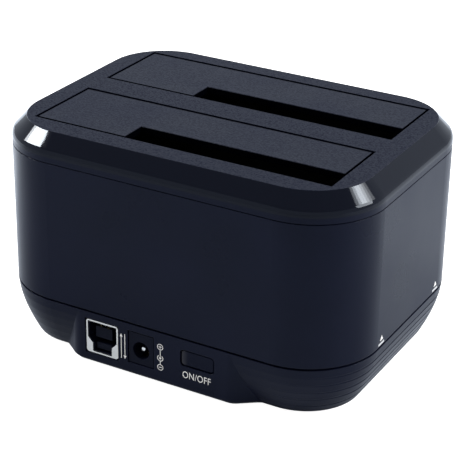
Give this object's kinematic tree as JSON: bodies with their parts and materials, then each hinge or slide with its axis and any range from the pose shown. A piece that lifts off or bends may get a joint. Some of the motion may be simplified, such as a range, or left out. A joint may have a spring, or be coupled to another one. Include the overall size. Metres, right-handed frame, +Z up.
{
  "type": "hard drive docking station",
  "caption": "Black desktop docking station for hard drives: rounded housing, drive bays with L-shaped spring flaps, ports and a power key on one side.",
  "frame": {"origin": "on the table, under the middle of the housing's outline", "axes": "+X along the long side, towards the end with the drive slots; +Y away from the side with the ports; +Z up"},
  "size_m": [0.129, 0.0952, 0.0758],
  "materials": {
    "cover_plastic": "moulded, fine texture on top, polished slope",
    "housing_plastic": "moulded, semi-matte",
    "flap_plastic": "moulded, fine texture",
    "well_plastic": "moulded, matte",
    "foot_rubber": "matte",
    "screw_steel": "zinc plated",
    "pin_steel": "bright",
    "socket_plastic": "moulded, matte",
    "contact_metal": "gold plated",
    "jack_pin_metal": "nickel plated",
    "shell_steel": "nickel plated sheet",
    "lamp_plastic": "milky",
    "pipe_plastic": "clear",
    "board_laminate": "lacquered",
    "chip_plastic": "moulded, matte",
    "crystal_steel": "bright",
    "coil_ferrite": "sintered",
    "can_aluminium": "satin",
    "plunger_plastic": "moulded"
  },
  "bodies": {
    "dock": {"top_cover": "cover_plastic", "housing_sleeve": "housing_plastic", "base_shell": "housing_plastic", "foot_front_left": "foot_rubber", "foot_front_right": "foot_rubber", "foot_rear_left": "foot_rubber", "foot_rear_right": "foot_rubber", "case_screws": "screw_steel", "board_screws": "screw_steel", "well_screws": "screw_steel", "near_bay_well": "well_plastic", "near_flap_pin": "pin_steel", "near_flap_spring": "pin_steel", "near_drive_socket": "socket_plastic", "near_drive_socket_contacts": "contact_metal", "near_activity_lamp": "lamp_plastic", "near_light_pipe": "pipe_plastic", "near_drive_capacitor": "can_aluminium", "far_bay_well": "well_plastic", "far_flap_pin": "pin_steel", "far_flap_spring": "pin_steel", "far_drive_socket": "socket_plastic", "far_drive_socket_contacts": "contact_metal", "far_activity_lamp": "lamp_plastic", "far_light_pipe": "pipe_plastic", "far_drive_capacitor": "can_aluminium", "main_board": "board_laminate", "bridge_chip": "chip_plastic", "memory_chip": "chip_plastic", "clock_crystal": "crystal_steel", "drive_supply_chip": "chip_plastic", "logic_supply_chip": "chip_plastic", "drive_supply_coil": "coil_ferrite", "logic_supply_coil": "coil_ferrite", "input_capacitor": "can_aluminium", "data_socket_shell": "shell_steel", "data_socket_insulator": "socket_plastic", "data_socket_contacts": "contact_metal", "power_jack_body": "socket_plastic", "power_jack_pin": "jack_pin_metal", "power_jack_leaf": "contact_metal", "switch_body": "socket_plastic"},
    "near_flap": {"near_bay_flap": "flap_plastic"},
    "far_flap": {"far_bay_flap": "flap_plastic"},
    "power_key": {"power_button": "flap_plastic", "switch_plunger": "plunger_plastic"}
  },
  "joints": [
    {"name": "near_flap_hinge", "type": "hinge", "parent": "dock", "child": "near_flap", "pos_m": [0, -0.00435, 0.0718], "axis": [1, 0, 0], "range_deg": [0, 90], "stiffness_Nm_per_rad": 0.004, "springref_deg": -57.3, "deforming": ["near_flap_spring"]},
    {"name": "far_flap_hinge", "type": "hinge", "parent": "dock", "child": "far_flap", "pos_m": [0, 0.03685, 0.0718], "axis": [1, 0, 0], "range_deg": [0, 90], "stiffness_Nm_per_rad": 0.004, "springref_deg": -57.3, "deforming": ["far_flap_spring"]},
    {"name": "power_button_slide", "type": "slide", "parent": "dock", "child": "power_key", "axis": [0, 1, 0], "range_m": [0, 0.0015], "stiffness_N_per_m": 300, "springref_m": -0.001}
  ]
}
